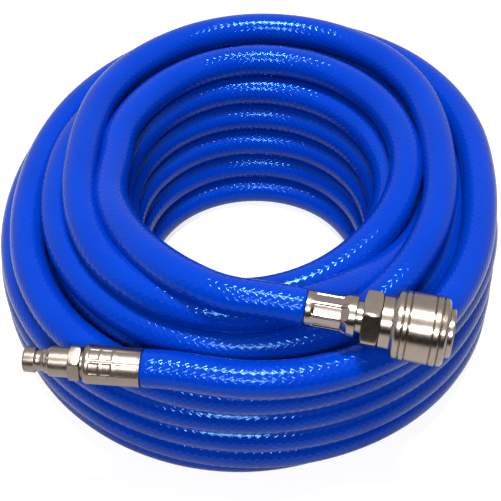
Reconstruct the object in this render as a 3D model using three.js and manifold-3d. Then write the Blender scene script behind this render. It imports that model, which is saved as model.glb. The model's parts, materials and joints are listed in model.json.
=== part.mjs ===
// A coiled compressed-air hose: 10 m of 9 x 15 mm hose with a quick coupler on one end
// and its matching plug on the other. Millimetres, +Z up. The origin is on the floor at
// the centre of the coil, and both end fittings lie on the coil's -Y side.

import * as THREE from 'three';
import { mergeVertices } from 'three/addons/utils/BufferGeometryUtils.js';
import Module from 'manifold-3d';

const wasm = await Module();
wasm.setup();

// ---------------------------------------------------------------- driving dimensions

const HOSE_RADIUS = 7.5;
const STRAIGHT_LEAD = 12; // the hose leaves each ferrule straight for this far
const TOUCHING_GAP = 0.3; // kept between pieces that rest on each other

// The coil's outer shape: a leaning ring with a step on top where the plug end lies.
const COIL_OUTER_RADIUS = 118.5;
const COIL_INNER_RADIUS = 48.3;
const COIL_HEIGHT = 88.5;
const COIL_INNER_LEAN = 8.0; // how much wider the hole is at the top than at the floor
const COIL_STEP_RADIUS = 106.6;
const COIL_STEP_HEIGHT = 69.2;
const COIL_FLOOR_ROUND = 6.0;

// Where the end fittings lie. Each is drawn along its own axis: t is the distance from
// its open face towards the hose, and r is the distance from the axis.
const COUPLER_FACE_CENTRE = [73.8, -108.0, 97.4];
const COUPLER_YAW = 12.7; // degrees that its open end is turned from +X towards -Y
const PLUG_FACE_CENTRE = [-85.8, -105.15, 77.6];
const PLUG_YAW = 5.4; // degrees that its open end is turned from -X towards +Y

// The plug's profile, which the coupler's bore is made to take.
const PLUG_TIP_RADIUS = 4.9;
const PLUG_TIP_LENGTH = 4.7;
const PLUG_GROOVE_RADIUS = 4.0;
const PLUG_GROOVE_LENGTH = 4.9;
const PLUG_SHOULDER_RADIUS = 5.8;
const PLUG_SHOULDER_LENGTH = 8.1;
const PLUG_HEX_ACROSS_FLATS = 13.0;
const PLUG_HEX_LENGTH = 4.5;
const PLUG_HEX_TURN = -21; // degrees
const PLUG_NECK_LENGTH = 1.0;
const PLUG_FERRULE_LENGTH = 21.7;
const PLUG_FERRULE_RADIUS = 7.5;

// The coupler, from its open face to the hose.
const NOSE_LENGTH = 2.1;
const NOSE_SETBACK = 0.1; // the ring round the nose starts this far from the face
const NOSE_RADIUS = 9.2;
const SLEEVE_RADIUS = 13.0;
const SLEEVE_LENGTH = 20.1;
const SLEEVE_TRAVEL = 3.5;
const NECK_RADIUS = 10.0;
const NECK_LENGTH = 4.1;
const COUPLER_HEX_ACROSS_FLATS = 20.0;
const COUPLER_HEX_LENGTH = 6.6;
const COUPLER_HEX_TURN = 30; // degrees: it lies with a flat upwards
const COUPLER_GROOVE_LENGTH = 2.2;
const COUPLER_FERRULE_LENGTH = 18.8;
const COLLAR_RADIUS = 8.0;
const COLLAR_LENGTH = 5.2;
const COLLAR_WALL = 0.8;
const CRIMP_RADIUS = 6.85;
const CRIMP_WALL = 0.85;
const MOUTH_FLARE = 0.25;
const FLUTE_COUNT = 8;

// Inside the coupler.
const BALL_COUNT = 4;
const BALL_RADIUS = 1.75;
const BALL_TRAVEL = 1.1; // outwards, while the sleeve makes its whole travel
const BORE_CHAMFER = 0.6;
const BODY_SHOULDER_RADIUS = 9.0; // behind the sleeve's spring room
const SEAL_LENGTH = 2.8;
const SEAL_OUTER_RADIUS = 6.2;
const SEAL_LEDGE_RADIUS = 5.95; // the edge behind the seal that keeps it in
const SEAL_PLAY = 0.25; // at each end of the seal's groove
const O_RING_RADIUS = 8.05;
const O_RING_WIRE_RADIUS = 0.6;
const O_RING_SEAT_RADIUS = 8.9;
const O_RING_SEAT_HALF_LENGTH = 0.8;
const STUB_RADIUS = 7.6; // the adapter's threaded front end
const STUB_NECK_RADIUS = 7.2; // behind its thread, where the O-ring sits
const THREAD_CLEARANCE = 0.2;
const CHAMBER_RADIUS = 6.3;
const CHAMBER_WALL = 3.7; // from the valve chamber's floor to the rear of the hex
const HEX_CORE_RADIUS = 9.2; // joins the turned part and the hexagon
const GROOVE_RADIUS = 6.2; // between the hex and the ferrule
const FERRULE_LOCK_RADIUS = 6.9; // the ring that the ferrule is crimped behind
const FERRULE_COLLAR_BORE = 6.5;
const POPPET_NOSE_RADIUS = 4.3;
const POPPET_FLANGE_RADIUS = 5.6;
const POPPET_FLANGE_LENGTH = 1.9;
const POPPET_STEM_RADIUS = 1.6;
const POPPET_STEM_LENGTH = 5.0;
const POPPET_SLOT_WIDTH = 1.8;
const SLEEVE_SPRING_RADIUS = 9.9; // both springs are measured to the middle of the wire
const SLEEVE_SPRING_TURNS = 4;
const VALVE_SPRING_RADIUS = 4.9;
const VALVE_SPRING_TURNS = 6;
const WIRE_RADIUS = 0.45; // of both springs

// The plug's inside, and the stems that both ends of the hose are pushed over.
const PLUG_NECK_RADIUS = 5.3;
const PLUG_FERRULE_BORE = 5.6;
const PLUG_LOCK_RADIUS = 6.3;
const PLUG_FERRULE_WALL = 0.75;
const CRIMP_BANDS = [4.4, 9.4]; // their middles, from the ferrule's front
const CRIMP_BAND_DEPTH = 0.45;
const AIR_BORE_RADIUS = 2.8;
const BARB_RADIUS = 4.2;
const BARB_HEIGHT = 0.3;
const BARB_PITCH = 3.0;
const FIRST_BARB = 5.0; // from the ferrule's front
const STEM_SETBACK = 0.8; // the stem ends this far short of the ferrule's mouth

const FINE_SIDES = 32; // facets round the large turned pieces
const SMALL_SIDES = 24; // facets round the small ones
const COIL_SIDES = 48;
const HOSE_SIDES = 12;

// ------------------------------------------------------------------- derived values

const PLUG_INSERTION = PLUG_TIP_LENGTH + PLUG_GROOVE_LENGTH + PLUG_SHOULDER_LENGTH;
const PLUG_LENGTH = PLUG_INSERTION + PLUG_HEX_LENGTH + PLUG_NECK_LENGTH + PLUG_FERRULE_LENGTH;

const SLEEVE_FRONT = NOSE_LENGTH + TOUCHING_GAP;
const SLEEVE_REAR = SLEEVE_FRONT + SLEEVE_LENGTH;
const HEX_FRONT = SLEEVE_REAR + NECK_LENGTH;
const HEX_REAR = HEX_FRONT + COUPLER_HEX_LENGTH;
const FERRULE_FRONT = HEX_REAR + COUPLER_GROOVE_LENGTH;
const COUPLER_LENGTH = FERRULE_FRONT + COUPLER_FERRULE_LENGTH;
const BODY_REAR = HEX_FRONT - 0.2;

// The balls sit over the middle of the plug's groove when the plug is fully in.
const BALL_T = PLUG_INSERTION - PLUG_TIP_LENGTH - PLUG_GROOVE_LENGTH / 2;
const BALL_CENTRE_RADIUS = PLUG_GROOVE_RADIUS + BALL_RADIUS + 0.15;
const BORE_RADIUS = PLUG_SHOULDER_RADIUS + 0.25;
const BORE_DEPTH = PLUG_SHOULDER_LENGTH + 0.3;
const TIP_BORE_RADIUS = PLUG_TIP_RADIUS + 0.3;
const BODY_TUBE_RADIUS = BALL_CENTRE_RADIUS + BALL_RADIUS - 0.1;

// The seal closes on the plug's tip, and the valve poppet rests on its rear face.
const SEAL_FRONT = PLUG_INSERTION - PLUG_TIP_LENGTH + 0.6;
const SEAL_REAR = SEAL_FRONT + SEAL_LENGTH;
const POPPET_NOSE_FRONT = SEAL_FRONT + 0.4;
const POPPET_FLANGE_FRONT = SEAL_REAR + TOUCHING_GAP;
const POPPET_FLANGE_REAR = POPPET_FLANGE_FRONT + POPPET_FLANGE_LENGTH;

const NECK_FRONT = SLEEVE_REAR - 1.2;
const LAND_RADIUS = BODY_TUBE_RADIUS + 0.25;
const LAND_REAR = 13.2;
const BODY_STEP = LAND_REAR + SLEEVE_TRAVEL + TOUCHING_GAP; // the body grows behind the land
const RECESS_RADIUS = 8.85;
const SPRING_ROOM_RADIUS = 10.9;
const STUB_FRONT = SEAL_REAR + 1.8;
const CHAMBER_REAR = HEX_REAR - CHAMBER_WALL;
const O_RING_T = BODY_REAR - O_RING_SEAT_HALF_LENGTH;
const O_RING_SEAT_FRONT = O_RING_T - O_RING_SEAT_HALF_LENGTH;
const STEM_CLEARANCE_RADIUS = BARB_RADIUS + 0.5; // the bore of the hose on the stems

// ---------------------------------------------------------------- geometry helpers

const degrees = THREE.MathUtils.degToRad;

// A THREE geometry as a solid that can be cut and joined.
function toSolid(geometry) {
  const bare = geometry.clone();
  bare.deleteAttribute('normal');
  bare.deleteAttribute('uv');
  const merged = mergeVertices(bare, 1e-4);
  const corners = merged.index.array;
  const kept = [];
  for (let i = 0; i < corners.length; i += 3) {
    const [a, b, c] = [corners[i], corners[i + 1], corners[i + 2]];
    if (a !== b && b !== c && c !== a) kept.push(a, b, c);
  }
  return new wasm.Manifold(new wasm.Mesh({
    numProp: 3,
    vertProperties: new Float32Array(merged.attributes.position.array),
    triVerts: new Uint32Array(kept),
  }));
}

function toGeometry(solid) {
  const mesh = solid.getMesh();
  const geometry = new THREE.BufferGeometry();
  geometry.setAttribute('position', new THREE.BufferAttribute(mesh.vertProperties, 3));
  geometry.setIndex(new THREE.BufferAttribute(mesh.triVerts, 1));
  geometry.computeVertexNormals();
  return geometry;
}

// A piece turned on a lathe, from a closed outline of [r, t] points. Its axis is +Y.
function turned(outline, sides) {
  let doubleArea = 0;
  for (let i = 0; i < outline.length; i += 1) {
    const [r1, t1] = outline[i];
    const [r2, t2] = outline[(i + 1) % outline.length];
    doubleArea += r1 * t2 - r2 * t1;
  }
  const ordered = doubleArea > 0 ? outline : [...outline].reverse();
  const points = [...ordered, ordered[0]].map(([r, t]) => new THREE.Vector2(r, t));
  return toSolid(new THREE.LatheGeometry(points, sides));
}

// A plain ring between two radii and two places along the axis.
function plainRing(innerRadius, outerRadius, front, rear, sides) {
  const outline = [[innerRadius, front], [outerRadius, front], [outerRadius, rear], [innerRadius, rear]];
  return turned(outline, sides);
}

// A hexagonal bar along +Y with chamfered corners, turned from having a corner at +Z.
function hexBar(acrossFlats, front, rear, turn) {
  const cornerRadius = acrossFlats / Math.sqrt(3);
  const flatRadius = acrossFlats / 2;
  const length = rear - front;
  const chamfer = (cornerRadius - flatRadius) * 0.6;
  const bar = new THREE.CylinderGeometry(cornerRadius, cornerRadius, length, 6);
  bar.rotateY(degrees(turn));
  bar.translate(0, (front + rear) / 2, 0);
  const chamferTool = turned([
    [0, front], [flatRadius, front], [cornerRadius + 0.1, front + chamfer],
    [cornerRadius + 0.1, rear - chamfer], [flatRadius, rear], [0, rear],
  ], FINE_SIDES);
  return toSolid(bar).intersect(chamferTool);
}

// A round bar swept along a curve, closed at both ends.
function sweptRound(curve, radius, sides, steps) {
  const section = new THREE.Shape();
  for (let i = 0; i < sides; i += 1) {
    const angle = (i * 2 * Math.PI) / sides;
    const corner = [radius * Math.cos(angle), radius * Math.sin(angle)];
    if (i === 0) section.moveTo(...corner);
    else section.lineTo(...corner);
  }
  section.closePath();
  return toSolid(new THREE.ExtrudeGeometry(section, { steps, bevelEnabled: false, extrudePath: curve }));
}

// The centreline of a compression spring along +Y, with its end turns wound closer.
class SpringCurve extends THREE.Curve {
  constructor(meanRadius, front, rear, turns) {
    super();
    this.meanRadius = meanRadius;
    this.front = front + WIRE_RADIUS;
    this.length = rear - front - 2 * WIRE_RADIUS;
    this.turns = turns;
  }

  getPoint(u, target = new THREE.Vector3()) {
    const angle = 2 * Math.PI * this.turns * u;
    const closeEnds = (0.4 * Math.sin(2 * Math.PI * u)) / (2 * Math.PI);
    const t = this.front + this.length * (u - closeEnds);
    return target.set(this.meanRadius * Math.cos(angle), t, this.meanRadius * Math.sin(angle));
  }
}

function spring(meanRadius, front, rear, turns) {
  const wireSides = 6;
  const stepsPerTurn = 10;
  const curve = new SpringCurve(meanRadius, front, rear, turns);
  return sweptRound(curve, WIRE_RADIUS, wireSides, turns * stepsPerTurn);
}

function piece(name, solid, material) {
  const mesh = new THREE.Mesh(toGeometry(solid), material);
  mesh.name = name;
  return mesh;
}

// ----------------------------------------------------------------------- materials

function material(color, roughness, metalness) {
  return new THREE.MeshStandardMaterial({ color, roughness, metalness });
}

const HOSE_BLUE = [0x0747d8, 0.35, 0.0];
const NICKEL = [0xb3a597, 0.28, 1.0];
const SPRING_STEEL = [0xa7a9ac, 0.35, 1.0];
const BLACK_RUBBER = [0x17181a, 0.6, 0.0];

// ------------------------------------------------------------------------ the hose

// The outline that all the coil's turns fit in; grow moves it outwards on every side.
function coilOutline(grow) {
  const inner = COIL_INNER_RADIUS - grow;
  const outer = COIL_OUTER_RADIUS + grow;
  const top = COIL_HEIGHT + grow;
  const step = COIL_STEP_RADIUS + grow;
  return [
    [inner + 2, -grow],
    [outer - COIL_FLOOR_ROUND, -grow],
    [outer, COIL_FLOOR_ROUND],
    [outer, COIL_STEP_HEIGHT + grow],
    [step, COIL_STEP_HEIGHT + grow],
    [step - 2, COIL_STEP_HEIGHT + HOSE_RADIUS + grow],
    [step - 9, top],
    [inner + COIL_INNER_LEAN + 2, top],
    [inner + COIL_INNER_LEAN - 2, top - HOSE_RADIUS],
    [inner, HOSE_RADIUS],
  ];
}

// The ring is turned about +Y like the other lathe pieces, then stood up on its axis.
function coilRing(grow) {
  return turned(coilOutline(grow), COIL_SIDES).rotate([90, 0, 0]);
}

function hoseCoil() {
  return piece('hose_coil', coilRing(0), material(...HOSE_BLUE));
}

// The hose where it leaves the coil for a fitting. The part inside the coil is cut away.
function hoseEnd(name, points) {
  const curve = new THREE.CatmullRomCurve3(points, false, 'centripetal');
  const steps = Math.round(curve.getLength() / (4 * HOSE_RADIUS));
  const tube = sweptRound(curve, HOSE_RADIUS, HOSE_SIDES, steps);
  return piece(name, tube.subtract(coilRing(TOUCHING_GAP)), material(...HOSE_BLUE));
}

// A point on a fitting's axis, t from its open face.
function alongFitting(faceCentre, inward, t) {
  return new THREE.Vector3(...faceCentre).addScaledVector(inward, t);
}

const COUPLER_INWARD = new THREE.Vector3(
  -Math.cos(degrees(COUPLER_YAW)),
  Math.sin(degrees(COUPLER_YAW)),
  0,
);
const PLUG_INWARD = new THREE.Vector3(Math.cos(degrees(PLUG_YAW)), -Math.sin(degrees(PLUG_YAW)), 0);

function hosePlugEnd() {
  const start = alongFitting(PLUG_FACE_CENTRE, PLUG_INWARD, PLUG_LENGTH + TOUCHING_GAP);
  const lead = alongFitting(PLUG_FACE_CENTRE, PLUG_INWARD, PLUG_LENGTH + STRAIGHT_LEAD);
  const route = [
    [-14, -113.2, 77.6], [0, -114.8, 77.6], [16, -114, 77.4], [32, -110.2, 77.1],
    [48, -103.6, 76.9], [63, -94.2, 76.6], [78, -78.4, 76.2], [90.5, -56.3, 75.7],
  ];
  return hoseEnd('hose_plug_end', [start, lead, ...route.map((p) => new THREE.Vector3(...p))]);
}

function hoseCouplerEnd() {
  const end = alongFitting(COUPLER_FACE_CENTRE, COUPLER_INWARD, COUPLER_LENGTH + TOUCHING_GAP);
  const lead = alongFitting(COUPLER_FACE_CENTRE, COUPLER_INWARD, COUPLER_LENGTH + STRAIGHT_LEAD);
  const route = [
    [-47.4, -56, 91.4], [-36.8, -69.7, 94.3], [-25, -80.6, 96.3], [-11, -88.9, 97.2],
  ];
  return hoseEnd('hose_coupler_end', [...route.map((p) => new THREE.Vector3(...p)), lead, end]);
}

// -------------------------------------------------------------------- the coupler

// The front body: the bore for the plug, the ball holes, the seal's groove and a threaded
// socket for the adapter.
function couplerBody() {
  const outline = [
    [BORE_RADIUS + BORE_CHAMFER, 0],
    [BODY_TUBE_RADIUS, 0],
    [BODY_TUBE_RADIUS, BODY_STEP],
    [BODY_SHOULDER_RADIUS, BODY_STEP],
    [BODY_SHOULDER_RADIUS, NECK_FRONT],
    [NECK_RADIUS, NECK_FRONT],
    [NECK_RADIUS, BODY_REAR],
    [O_RING_SEAT_RADIUS, BODY_REAR],
    [O_RING_SEAT_RADIUS, O_RING_SEAT_FRONT],
    [STUB_RADIUS + THREAD_CLEARANCE, O_RING_SEAT_FRONT],
    [STUB_RADIUS + THREAD_CLEARANCE, STUB_FRONT - TOUCHING_GAP],
    [SEAL_LEDGE_RADIUS, STUB_FRONT - TOUCHING_GAP],
    [SEAL_LEDGE_RADIUS, SEAL_REAR + SEAL_PLAY],
    [SEAL_OUTER_RADIUS + 0.2, SEAL_REAR + SEAL_PLAY],
    [SEAL_OUTER_RADIUS + 0.2, SEAL_FRONT - SEAL_PLAY],
    [TIP_BORE_RADIUS, SEAL_FRONT - SEAL_PLAY],
    [TIP_BORE_RADIUS, BORE_DEPTH + 0.4],
    [BORE_RADIUS, BORE_DEPTH],
    [BORE_RADIUS, BORE_CHAMFER],
  ];
  let body = turned(outline, FINE_SIDES);
  for (let i = 0; i < BALL_COUNT; i += 1) {
    body = body.subtract(ballHole(i));
  }
  return piece('coupler_body', body, material(...NICKEL));
}

function ballAngle(index) {
  return ((index + 0.5) * 360) / BALL_COUNT;
}

// A radial hole that narrows at the bore, so that its ball can't drop out inwards.
function ballHole(index) {
  const wide = BALL_RADIUS + 0.25;
  const hole = turned([
    [0, TIP_BORE_RADIUS - 0.6],
    [BALL_RADIUS - 0.1, TIP_BORE_RADIUS - 0.6],
    [BALL_RADIUS - 0.05, TIP_BORE_RADIUS],
    [wide, BALL_CENTRE_RADIUS],
    [wide, BODY_TUBE_RADIUS + 1],
    [0, BODY_TUBE_RADIUS + 1],
  ], 12);
  // From along +Y to along the ball's radius, which lies in the XZ plane.
  return hole.rotate([90, 0, 0]).rotate([0, ballAngle(index), 0]).translate([0, BALL_T, 0]);
}

function lockingBall(index) {
  const ball = new THREE.SphereGeometry(BALL_RADIUS, 12, 8);
  const mesh = new THREE.Mesh(toGeometry(toSolid(ball)), material(...SPRING_STEEL));
  mesh.name = `locking_ball_${index + 1}`;
  const angle = degrees(ballAngle(index));
  mesh.position.set(
    BALL_CENTRE_RADIUS * Math.sin(angle),
    BALL_T,
    BALL_CENTRE_RADIUS * Math.cos(angle),
  );
  return mesh;
}

// The sleeve that slides back to free the balls. Inside, from the front: the recess that
// the balls move out into, a cone that leads to it, the land that holds them in, and the
// room for its spring.
function lockingSleeve() {
  const rampRise = BALL_TRAVEL / SLEEVE_TRAVEL;
  const landEnd = BALL_T + 0.4;
  const rampFront = landEnd - (RECESS_RADIUS - LAND_RADIUS) / rampRise;
  const outline = [
    [RECESS_RADIUS, SLEEVE_FRONT],
    [SLEEVE_RADIUS - 1.6, SLEEVE_FRONT],
    [SLEEVE_RADIUS - 1.1, SLEEVE_FRONT + 0.5],
    [SLEEVE_RADIUS - 1.1, SLEEVE_FRONT + 1.5],
    [SLEEVE_RADIUS, SLEEVE_FRONT + 1.9],
    [SLEEVE_RADIUS, SLEEVE_REAR - 5.6],
    [SLEEVE_RADIUS - 0.2, SLEEVE_REAR - 5.2],
    [SLEEVE_RADIUS - 0.2, SLEEVE_REAR - 1.9],
    [SLEEVE_RADIUS - 1.6, SLEEVE_REAR],
    [NECK_RADIUS + 0.25, SLEEVE_REAR],
    [NECK_RADIUS + 0.25, SLEEVE_REAR - 1.8],
    [SPRING_ROOM_RADIUS, SLEEVE_REAR - 1.8],
    [SPRING_ROOM_RADIUS, LAND_REAR],
    [LAND_RADIUS, LAND_REAR],
    [LAND_RADIUS, landEnd],
    [RECESS_RADIUS, rampFront],
  ];
  return piece('locking_sleeve', turned(outline, FINE_SIDES), material(...NICKEL));
}

function sleeveStopRing() {
  const outline = [
    [BODY_TUBE_RADIUS + 0.15, NOSE_SETBACK],
    [NOSE_RADIUS - 0.6, NOSE_SETBACK],
    [NOSE_RADIUS, NOSE_SETBACK + 0.6],
    [NOSE_RADIUS, NOSE_LENGTH],
    [BODY_TUBE_RADIUS + 0.15, NOSE_LENGTH],
  ];
  return piece('sleeve_stop_ring', turned(outline, FINE_SIDES), material(...NICKEL));
}

function sleeveSpring() {
  const front = LAND_REAR + TOUCHING_GAP;
  const rear = NECK_FRONT - TOUCHING_GAP;
  const solid = spring(SLEEVE_SPRING_RADIUS, front, rear, SLEEVE_SPRING_TURNS);
  return piece('sleeve_spring', solid, material(...SPRING_STEEL));
}

function socketSeal() {
  const lip = PLUG_TIP_RADIUS - 0.1;
  const outline = [
    [lip, SEAL_FRONT + 0.9],
    [lip + 0.5, SEAL_FRONT],
    [SEAL_OUTER_RADIUS, SEAL_FRONT],
    [SEAL_OUTER_RADIUS, SEAL_REAR],
    [lip + 0.3, SEAL_REAR],
    [lip, SEAL_REAR - 0.4],
  ];
  return piece('socket_seal', turned(outline, SMALL_SIDES), material(...BLACK_RUBBER));
}

// The valve poppet: a slotted nose that the plug pushes on, a sealing flange and a stem.
function valvePoppet() {
  const stemRear = POPPET_FLANGE_REAR + POPPET_STEM_LENGTH;
  let poppet = turned([
    [0, POPPET_NOSE_FRONT],
    [POPPET_NOSE_RADIUS - 0.4, POPPET_NOSE_FRONT],
    [POPPET_NOSE_RADIUS, POPPET_NOSE_FRONT + 0.4],
    [POPPET_NOSE_RADIUS, POPPET_FLANGE_FRONT],
    [POPPET_FLANGE_RADIUS, POPPET_FLANGE_FRONT],
    [POPPET_FLANGE_RADIUS, POPPET_FLANGE_REAR],
    [POPPET_STEM_RADIUS, POPPET_FLANGE_REAR],
    [POPPET_STEM_RADIUS, stemRear],
    [0, stemRear],
  ], SMALL_SIDES);
  const slotDepth = POPPET_FLANGE_FRONT - POPPET_NOSE_FRONT;
  for (const turn of [0, 90]) {
    const slot = new THREE.BoxGeometry(3 * POPPET_NOSE_RADIUS, slotDepth, POPPET_SLOT_WIDTH);
    slot.rotateY(degrees(turn));
    slot.translate(0, POPPET_NOSE_FRONT + slotDepth / 2 - 0.6, 0);
    poppet = poppet.subtract(toSolid(slot));
  }
  return piece('valve_poppet', poppet, material(...NICKEL));
}

function valveSpring() {
  const front = POPPET_FLANGE_REAR + TOUCHING_GAP;
  const rear = CHAMBER_REAR - TOUCHING_GAP;
  const solid = spring(VALVE_SPRING_RADIUS, front, rear, VALVE_SPRING_TURNS);
  return piece('valve_spring', solid, material(...SPRING_STEEL));
}

function adapterSeal() {
  const ring = new THREE.TorusGeometry(O_RING_RADIUS, O_RING_WIRE_RADIUS, 8, FINE_SIDES);
  ring.rotateX(Math.PI / 2);
  ring.translate(0, O_RING_T, 0);
  return piece('adapter_seal', toSolid(ring), material(...BLACK_RUBBER));
}

// Rings on a stem that grip the hose: each is a cone that faces its open end.
function barbs(first, last) {
  const points = [];
  for (let t = first; t + BARB_PITCH <= last; t += BARB_PITCH) {
    points.push([BARB_RADIUS + BARB_HEIGHT, t], [BARB_RADIUS, t + BARB_PITCH - 0.05]);
  }
  return points;
}

// The rear body: a threaded stub that holds the valve's chamber, the hex, and the barbed
// stem that the hose is pushed over.
function couplerAdapter() {
  const stemEnd = COUPLER_LENGTH - STEM_SETBACK;
  const lockFront = FERRULE_FRONT + 1.3;
  const lockRear = lockFront + 1.3;
  const turnedPart = turned([
    [CHAMBER_RADIUS, STUB_FRONT],
    [STUB_RADIUS, STUB_FRONT],
    [STUB_RADIUS, O_RING_SEAT_FRONT],
    [STUB_NECK_RADIUS, O_RING_SEAT_FRONT],
    [STUB_NECK_RADIUS, HEX_FRONT + 1],
    [HEX_CORE_RADIUS, HEX_FRONT + 1],
    [HEX_CORE_RADIUS, HEX_REAR - 1],
    [GROOVE_RADIUS, HEX_REAR - 1],
    [GROOVE_RADIUS, lockFront],
    [FERRULE_LOCK_RADIUS, lockFront],
    [FERRULE_LOCK_RADIUS, lockRear],
    [BARB_RADIUS, lockRear],
    ...barbs(FERRULE_FRONT + FIRST_BARB, stemEnd),
    [BARB_RADIUS - BARB_HEIGHT, stemEnd],
    [AIR_BORE_RADIUS, stemEnd],
    [AIR_BORE_RADIUS, CHAMBER_REAR],
    [CHAMBER_RADIUS, CHAMBER_REAR],
  ], FINE_SIDES);
  const chamberTool = plainRing(0, CHAMBER_RADIUS, HEX_FRONT - 1, CHAMBER_REAR, FINE_SIDES);
  const boreTool = plainRing(0, AIR_BORE_RADIUS, CHAMBER_REAR - 1, HEX_REAR + 1, FINE_SIDES);
  const hex = hexBar(COUPLER_HEX_ACROSS_FLATS, HEX_FRONT, HEX_REAR, COUPLER_HEX_TURN);
  const hollowHex = hex.subtract(chamberTool).subtract(boreTool);
  return piece('coupler_adapter', turnedPart.add(hollowHex), material(...NICKEL));
}

// The coupler's ferrule: a plain collar, then a crimped length with pressed-in flutes and
// a slightly flared mouth.
function couplerFerrule() {
  const crimpFront = FERRULE_FRONT + COLLAR_LENGTH;
  const mouthRadius = CRIMP_RADIUS + MOUTH_FLARE;
  const crimpBore = CRIMP_RADIUS - CRIMP_WALL;
  const collarBore = COLLAR_RADIUS - COLLAR_WALL;
  let ferrule = turned([
    [FERRULE_COLLAR_BORE, FERRULE_FRONT],
    [COLLAR_RADIUS - 0.5, FERRULE_FRONT],
    [COLLAR_RADIUS, FERRULE_FRONT + 0.5],
    [COLLAR_RADIUS, crimpFront - 0.6],
    [CRIMP_RADIUS, crimpFront + 0.8],
    [CRIMP_RADIUS, COUPLER_LENGTH - 2.4],
    [mouthRadius, COUPLER_LENGTH - 1.6],
    [mouthRadius, COUPLER_LENGTH],
    [mouthRadius - 0.7, COUPLER_LENGTH],
    [crimpBore, COUPLER_LENGTH - 2.0],
    [crimpBore, crimpFront + 0.8],
    [collarBore, crimpFront - 0.6],
    [collarBore, FERRULE_FRONT + 1.0],
    [FERRULE_COLLAR_BORE, FERRULE_FRONT + 1.0],
  ], FINE_SIDES);
  const fluteRadius = 1.0;
  const fluteFront = crimpFront + 1.5;
  const fluteRear = COUPLER_LENGTH - 3.2;
  for (let i = 0; i < FLUTE_COUNT; i += 1) {
    const angle = (i * 2 * Math.PI) / FLUTE_COUNT;
    const tool = new THREE.CylinderGeometry(fluteRadius, fluteRadius, fluteRear - fluteFront, 8);
    const outwards = CRIMP_RADIUS + fluteRadius * 0.65;
    tool.translate(outwards * Math.sin(angle), (fluteFront + fluteRear) / 2, outwards * Math.cos(angle));
    ferrule = ferrule.subtract(toSolid(tool));
  }
  return piece('coupler_ferrule', ferrule, material(...NICKEL));
}

// The end of the hose that is squeezed between the stem and the ferrule.
function couplerHoseTail() {
  const front = FERRULE_FRONT + 2.9;
  const crimpFront = FERRULE_FRONT + COLLAR_LENGTH;
  const collarBore = COLLAR_RADIUS - COLLAR_WALL;
  const crimpBore = CRIMP_RADIUS - CRIMP_WALL;
  const solid = turned([
    [STEM_CLEARANCE_RADIUS, front],
    [collarBore - TOUCHING_GAP, front],
    [collarBore - TOUCHING_GAP, crimpFront - 0.8],
    [crimpBore - TOUCHING_GAP, crimpFront + 0.8],
    [crimpBore - TOUCHING_GAP, COUPLER_LENGTH],
    [STEM_CLEARANCE_RADIUS, COUPLER_LENGTH],
  ], SMALL_SIDES);
  return piece('coupler_hose_tail', solid, material(...HOSE_BLUE));
}

function coupler() {
  const group = new THREE.Group();
  group.position.set(...COUPLER_FACE_CENTRE);
  group.rotation.z = degrees(90 - COUPLER_YAW);
  group.add(couplerBody(), lockingSleeve(), sleeveStopRing(), sleeveSpring());
  for (let i = 0; i < BALL_COUNT; i += 1) {
    group.add(lockingBall(i));
  }
  group.add(socketSeal(), valvePoppet(), valveSpring(), adapterSeal());
  group.add(couplerAdapter(), couplerFerrule(), couplerHoseTail());
  return group;
}

// ----------------------------------------------------------------------- the plug

function plugNipple() {
  const grooveFront = PLUG_TIP_LENGTH;
  const grooveRear = grooveFront + PLUG_GROOVE_LENGTH;
  const hexRear = PLUG_INSERTION + PLUG_HEX_LENGTH;
  const ferruleFront = hexRear + PLUG_NECK_LENGTH;
  const stemEnd = PLUG_LENGTH - STEM_SETBACK;
  const lockFront = ferruleFront + 1.5;
  const lockRear = lockFront + 1.2;
  const turnedPart = turned([
    [AIR_BORE_RADIUS, 0],
    [PLUG_TIP_RADIUS - 0.5, 0],
    [PLUG_TIP_RADIUS, 0.5],
    [PLUG_TIP_RADIUS, grooveFront - 0.4],
    [PLUG_GROOVE_RADIUS, grooveFront + 0.6],
    [PLUG_GROOVE_RADIUS, grooveRear - 1.5],
    [PLUG_SHOULDER_RADIUS, grooveRear + 0.3],
    [PLUG_SHOULDER_RADIUS, PLUG_INSERTION + 1],
    [PLUG_NECK_RADIUS, PLUG_INSERTION + 1],
    [PLUG_NECK_RADIUS, lockFront],
    [PLUG_LOCK_RADIUS, lockFront],
    [PLUG_LOCK_RADIUS, lockRear],
    [BARB_RADIUS, lockRear],
    ...barbs(ferruleFront + FIRST_BARB, stemEnd),
    [BARB_RADIUS - BARB_HEIGHT, stemEnd],
    [AIR_BORE_RADIUS, stemEnd],
  ], SMALL_SIDES);
  const boreTool = plainRing(0, AIR_BORE_RADIUS, PLUG_INSERTION - 1, hexRear + 1, SMALL_SIDES);
  const hex = hexBar(PLUG_HEX_ACROSS_FLATS, PLUG_INSERTION, hexRear, PLUG_HEX_TURN);
  return piece('plug_nipple', turnedPart.add(hex.subtract(boreTool)), material(...NICKEL));
}

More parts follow.
